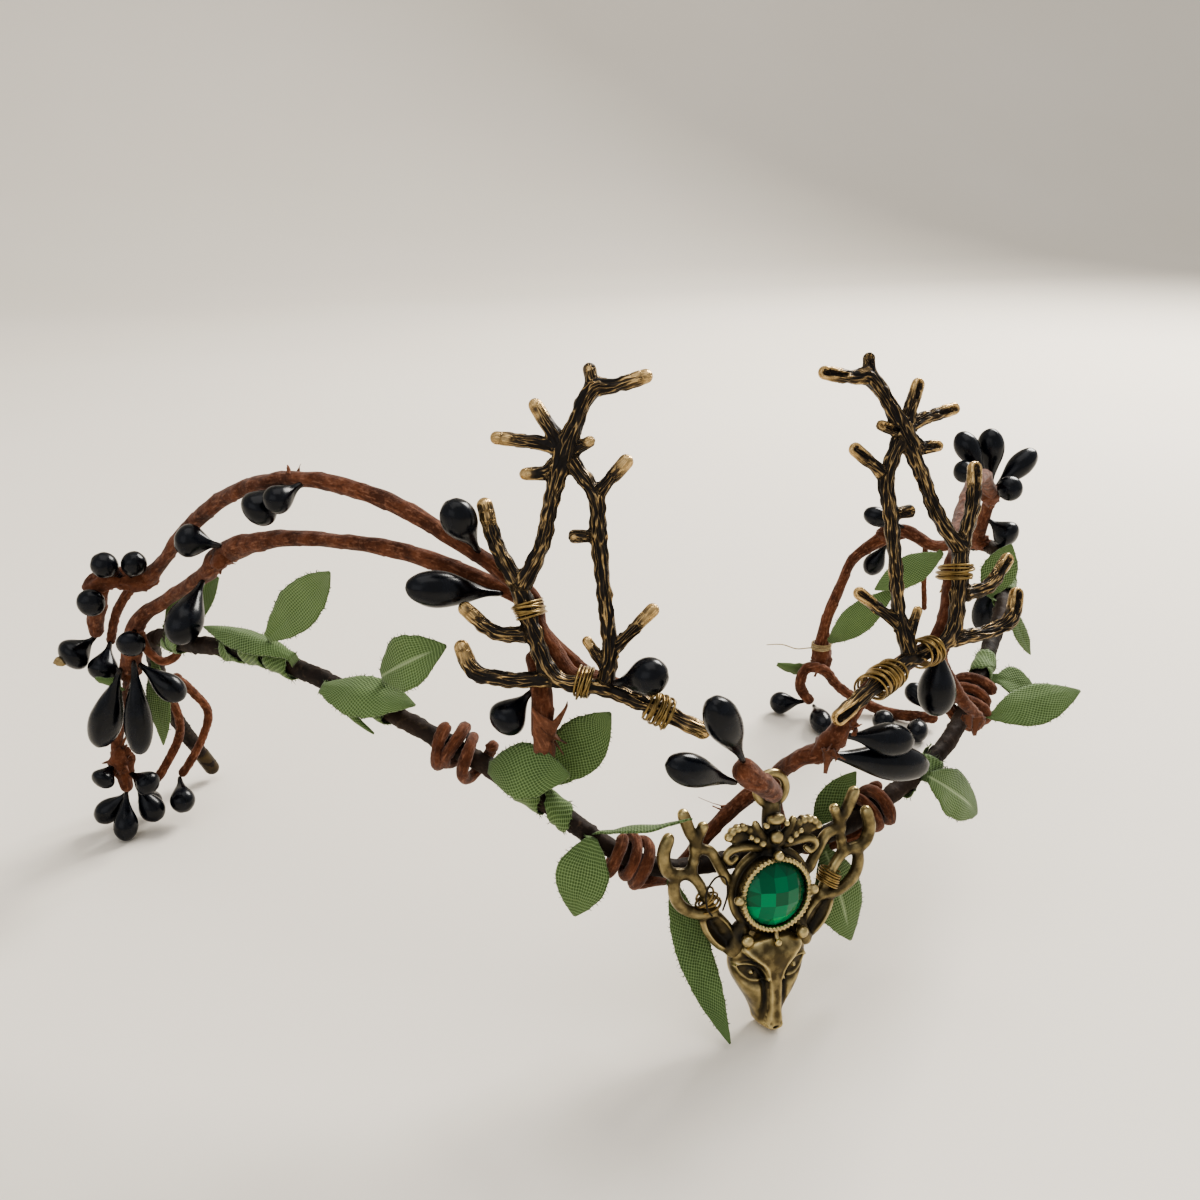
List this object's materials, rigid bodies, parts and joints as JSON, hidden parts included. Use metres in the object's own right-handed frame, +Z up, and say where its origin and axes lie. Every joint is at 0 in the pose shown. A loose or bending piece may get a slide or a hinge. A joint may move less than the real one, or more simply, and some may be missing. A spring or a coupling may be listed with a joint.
{
  "type": "woodland tiara",
  "caption": "Open woodland tiara: taped vine wire and paper-wrapped stems with cast antlers, a deer-head pendant set with a green stone, cloth leaves and black berries.",
  "frame": {"origin": "on the table, in the middle of the head opening", "axes": "+Z up; -Y towards the deer at the front; +X towards the wearer's left"},
  "size_m": [0.1955, 0.1211, 0.1019],
  "materials": {
    "tape": "wound tape, worn",
    "paper": "twisted and crinkled",
    "leaf": "woven, frayed edges",
    "berry": "satin",
    "brass": "antique, rubbed bright",
    "wire": "drawn, slightly aged",
    "gem": "faceted, polished"
  },
  "bodies": {
    "root": {"vine_wire": "tape", "leaf_windings": "leaf", "stem_left_high": "paper", "stem_left_low": "paper", "stem_centre": "paper", "stem_right": "paper", "stem_stub_left": "paper", "coil_left": "paper", "coil_right": "paper", "stem_left_drop": "paper", "strand_left_outer": "paper", "strand_left_inner": "paper", "loop_left_outer": "paper", "loop_left_inner": "paper", "stem_right_rise": "paper", "stem_right_rear": "paper", "stem_right_foot": "paper", "deer_pendant": "brass", "stone": "gem", "antler_left": "brass", "antler_right": "brass", "wire_left_top": "wire", "wire_left_middle": "wire", "wire_left_base": "wire", "wire_right_top": "wire", "wire_right_middle": "wire", "wire_right_base": "wire", "wire_pendant_left": "wire", "wire_pendant_right": "wire", "leaf_01": "leaf", "leaf_02": "leaf", "leaf_03": "leaf", "leaf_04": "leaf", "leaf_05": "leaf", "leaf_06": "leaf", "leaf_07": "leaf", "leaf_08": "leaf", "leaf_09": "leaf", "leaf_10": "leaf", "leaf_11": "leaf", "leaf_12": "leaf", "leaf_13": "leaf", "leaf_14": "leaf", "leaf_15": "leaf", "leaf_16": "leaf", "leaf_17": "leaf", "leaf_18": "leaf", "leaf_19": "leaf", "leaf_20": "leaf", "berry_front_high": "berry", "berry_front_low": "berry", "berry_left_bound": "berry", "berry_left_lower": "berry", "berry_left_twig": "berry", "berry_left_fork": "berry", "berries_left_arch": "berry", "berries_left_end": "berry", "berries_right_front": "berry", "berries_right_top": "berry", "berries_right_end": "berry"}
  },
  "joints": []
}
